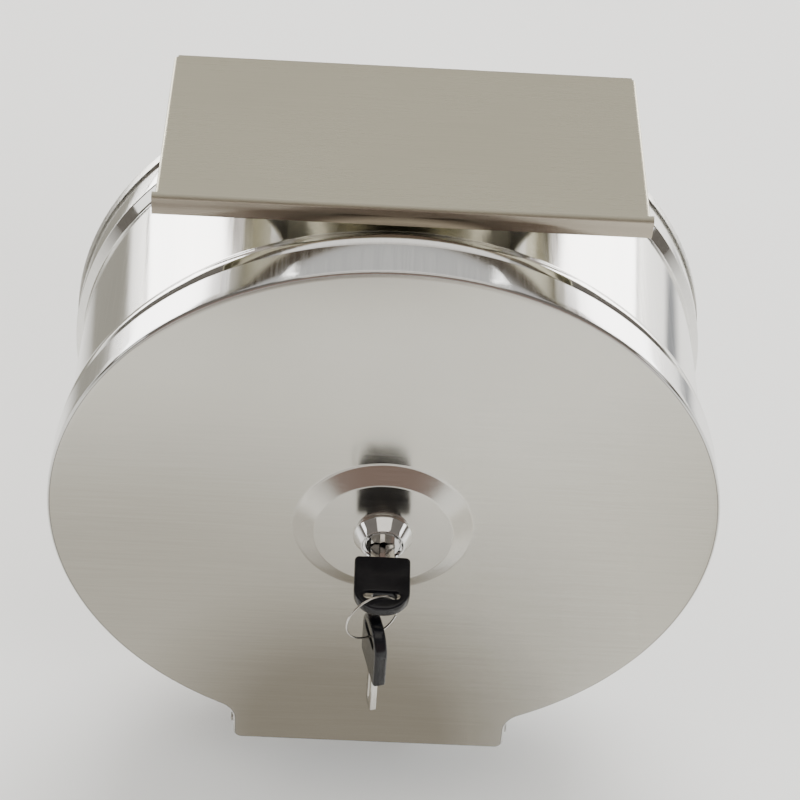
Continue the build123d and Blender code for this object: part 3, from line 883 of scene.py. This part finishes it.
# the same without the point, because they face straight up: cards that paint lighter and darker patches
# into the floor's reflection
PAINTED_FLOOR_REFLECTIONS = [
    ("painted_reflection_left", (-0.43, 0.375, -0.15), (0.64, 0.64), (0.44, 0.42, 0.36), 0.35),
    ("painted_reflection_right", (0.42, 0.31, -0.15), (0.27, 0.22), (0.42, 0.43, 0.45), 0.6),
    ("painted_reflection_near", (-0.01, -0.17, FLOOR_Z + 0.003), (0.23, 0.20), (0.38, 0.35, 0.30), 0.6),
    ("painted_reflection_side", (-0.17, -0.23, FLOOR_Z + 0.002), (0.62, 0.36), (0.80, 0.77, 0.70), 0.6),
    ("painted_reflection_edge", (0.30, -0.27, FLOOR_Z + 0.0015), (0.50, 0.44), (1.02, 0.99, 0.90), 0.6),
    ("painted_reflection_far", (-0.08, -0.60, FLOOR_Z + 0.001), (0.56, 0.24), (0.30, 0.26, 0.24), 0.6),
]


def studio_plane(name, segments, size):
    """A flat grid that reaches size to each side."""
    bm = bmesh.new()
    bmesh.ops.create_grid(bm, x_segments=segments, y_segments=segments, size=size)
    return new_object(name, bm)


def make_floor():
    """A plain pale floor, low enough for the opened cover to stay clear of it."""
    floor = studio_plane("floor", 2, 3.0)
    floor.location.z = FLOOR_Z - 0.0003
    made, tree, shader = material("floor_paint")
    coords = node(tree, "ShaderNodeTexCoord").outputs["Object"]
    blotch = noise(tree, coords, 3.0, 2.0)
    paint = tinted(tree, FLOOR_PAINT, ranged(tree, blotch, 0.98, 1.02))
    tree.links.new(paint, shader.inputs["Base Color"])
    shader.inputs["Roughness"].default_value = 0.55
    floor.data.materials.append(made)


def card_material(name, color, soft):
    """A plain glow that fades out over the soft share of its radius."""
    made = bpy.data.materials.new(name)
    made.use_nodes = True
    tree = made.node_tree
    tree.nodes.clear()
    out = tree.nodes.new("ShaderNodeOutputMaterial")
    shown = node(tree, "ShaderNodeEmission", {"Color": (*color, 1)})
    if soft:
        coords = node(tree, "ShaderNodeTexCoord").outputs["Object"]
        centre = node(tree, "ShaderNodeTexGradient", {"Vector": coords}, gradient_type="SPHERICAL")
        fade = node(tree, "ShaderNodeMapRange", {"Value": centre.outputs[1], "From Max": soft}).outputs[0]
        clear = node(tree, "ShaderNodeBsdfTransparent")
        shown = node(tree, "ShaderNodeMixShader", {0: fade, 1: clear.outputs[0], 2: shown.outputs[0]})
    tree.links.new(shown.outputs[0], out.inputs[0])
    return made


def aim(thing, place, look, axis):
    thing.location = place
    thing.rotation_euler = (Vector(look) - Vector(place)).to_track_quat(axis, "Y").to_euler()


def card(name, place, look, size, color, soft):
    """A glowing card that only reflections see: a painted reflection, which puts a patch of painted shade
    or light into bright metal.
    """
    made = studio_plane(name, 1, 1.0)
    aim(made, place, look, "Z")
    made.scale = (size[0] / 2, size[1] / 2, 1)
    made.data.materials.append(card_material(name, color, soft))
    made.visible_camera = False
    made.visible_diffuse = False
    made.visible_shadow = False


def area_light(name, place, look, size, power, color):
    data = bpy.data.lights.new(name, "AREA")
    data.shape = "RECTANGLE"
    data.size, data.size_y = size
    data.energy = power
    data.color = color
    light = bpy.data.objects.new(name, data)
    aim(light, place, look, "-Z")
    bpy.context.scene.collection.objects.link(light)
    return light


def make_studio():
    """The floor, a dim plain world, the glowing cards that paint reflections and the lights."""
    make_floor()
    world = bpy.data.worlds.new("studio")
    bpy.context.scene.world = world
    world.use_nodes = True
    background = world.node_tree.nodes["Background"]
    background.inputs[0].default_value = WORLD_COLOR
    background.inputs[1].default_value = WORLD_STRENGTH
    card(*PAINTED_FRONT_REFLECTION)
    for name, place, size, color, soft in PAINTED_FLOOR_REFLECTIONS:
        card(name, place, (place[0], place[1], 1), size, color, soft)
    for row in LIGHTS:
        area_light(*row)
    for name, place, look, size, power, color in PAIRED_LIGHTS:
        for side in (-1, 1):
            area_light(f"{name}_{side}", (side * place[0], place[1], place[2]), look, size, power, color)
    for row in FLOOR_LIGHTS:
        area_light(*row).visible_glossy = False
    area_light(*OVERHEAD_LIGHT).visible_diffuse = False


make_studio()
